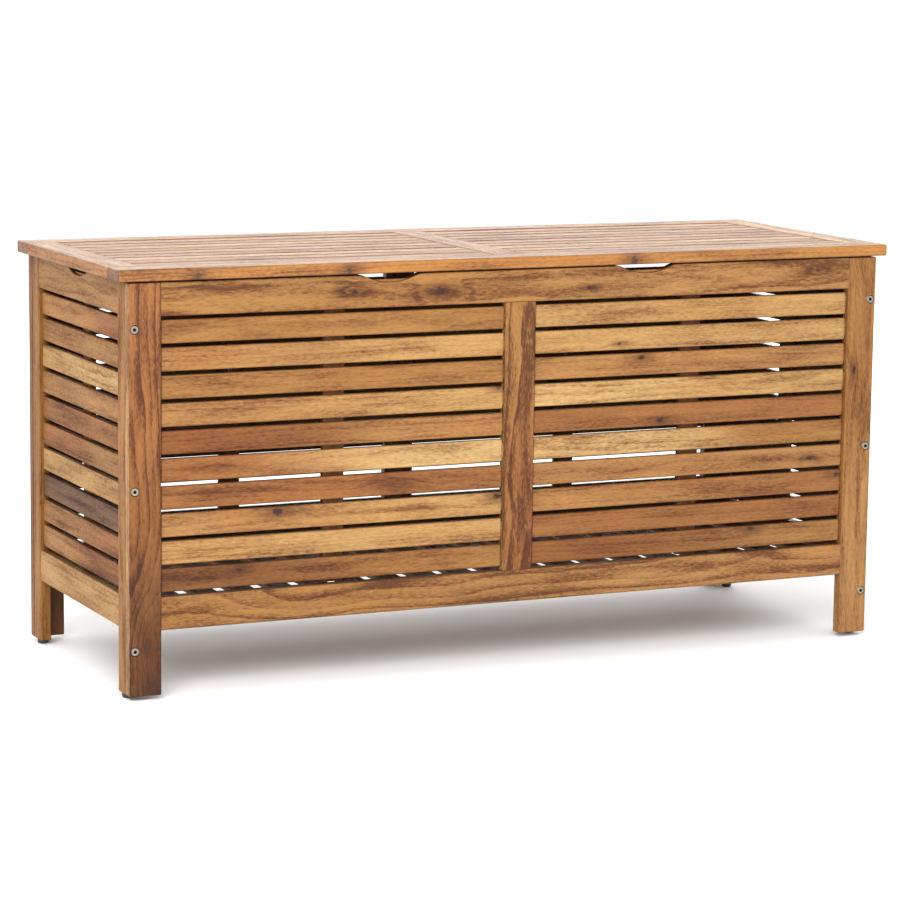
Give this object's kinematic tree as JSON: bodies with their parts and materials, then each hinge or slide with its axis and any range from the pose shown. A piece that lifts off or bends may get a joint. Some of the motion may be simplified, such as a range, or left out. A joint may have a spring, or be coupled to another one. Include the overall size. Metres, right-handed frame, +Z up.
{
  "type": "deck storage box",
  "caption": "Slatted hardwood garden storage box on four legs, with a framed slatted lid on rear hinges, finger cut-outs in the top rails and a slatted floor.",
  "frame": {"origin": "on the floor under the centre of the box's bounding box", "axes": "+X along the length to the right, -Y to the front, +Z up"},
  "size_m": [1.3, 0.48, 0.64],
  "materials": {
    "hardwood": "oiled, with open grain and knots",
    "steel": "zinc plated",
    "plastic": "moulded, slightly rough"
  },
  "bodies": {
    "box": {"barrel_nuts": "steel", "corner_bolts": "steel", "floor_ledger_front": "hardwood", "floor_ledger_rear": "hardwood", "floor_screws": "steel", "floor_slats": "hardwood", "foot_front_left": "plastic", "foot_front_right": "plastic", "foot_rear_left": "plastic", "foot_rear_right": "plastic", "front_batten_left": "hardwood", "front_batten_right": "hardwood", "front_bottom_rail": "hardwood", "front_centre_stile": "hardwood", "front_slats_left": "hardwood", "front_slats_right": "hardwood", "front_stile_left": "hardwood", "front_stile_right": "hardwood", "front_top_rail": "hardwood", "hinge_left_body_leaf": "steel", "hinge_left_pin": "steel", "hinge_right_body_leaf": "steel", "hinge_right_pin": "steel", "hinge_screws_body": "steel", "left_side_batten": "hardwood", "left_side_bottom_rail": "hardwood", "left_side_post_front": "hardwood", "left_side_post_rear": "hardwood", "left_side_slats": "hardwood", "left_side_top_rail": "hardwood", "rear_batten_left": "hardwood", "rear_batten_right": "hardwood", "rear_bottom_rail": "hardwood", "rear_centre_stile": "hardwood", "rear_slats_left": "hardwood", "rear_slats_right": "hardwood", "rear_stile_left": "hardwood", "rear_stile_right": "hardwood", "rear_top_rail": "hardwood", "right_side_batten": "hardwood", "right_side_bottom_rail": "hardwood", "right_side_post_front": "hardwood", "right_side_post_rear": "hardwood", "right_side_slats": "hardwood", "right_side_top_rail": "hardwood", "wall_screws": "steel"},
    "lid": {"hinge_left_lid_leaf": "steel", "hinge_right_lid_leaf": "steel", "hinge_screws_lid": "steel", "lid_batten_left": "hardwood", "lid_batten_right": "hardwood", "lid_centre_rail": "hardwood", "lid_front_rail": "hardwood", "lid_left_rail": "hardwood", "lid_rear_rail": "hardwood", "lid_right_rail": "hardwood", "lid_screws": "steel", "lid_slats_left": "hardwood", "lid_slats_right": "hardwood"}
  },
  "joints": [
    {"name": "lid_hinge", "type": "hinge", "parent": "box", "child": "lid", "pos_m": [0, 0.2367, 0.6198], "axis": [-1, 0, 0], "range_deg": [0, 95]}
  ]
}
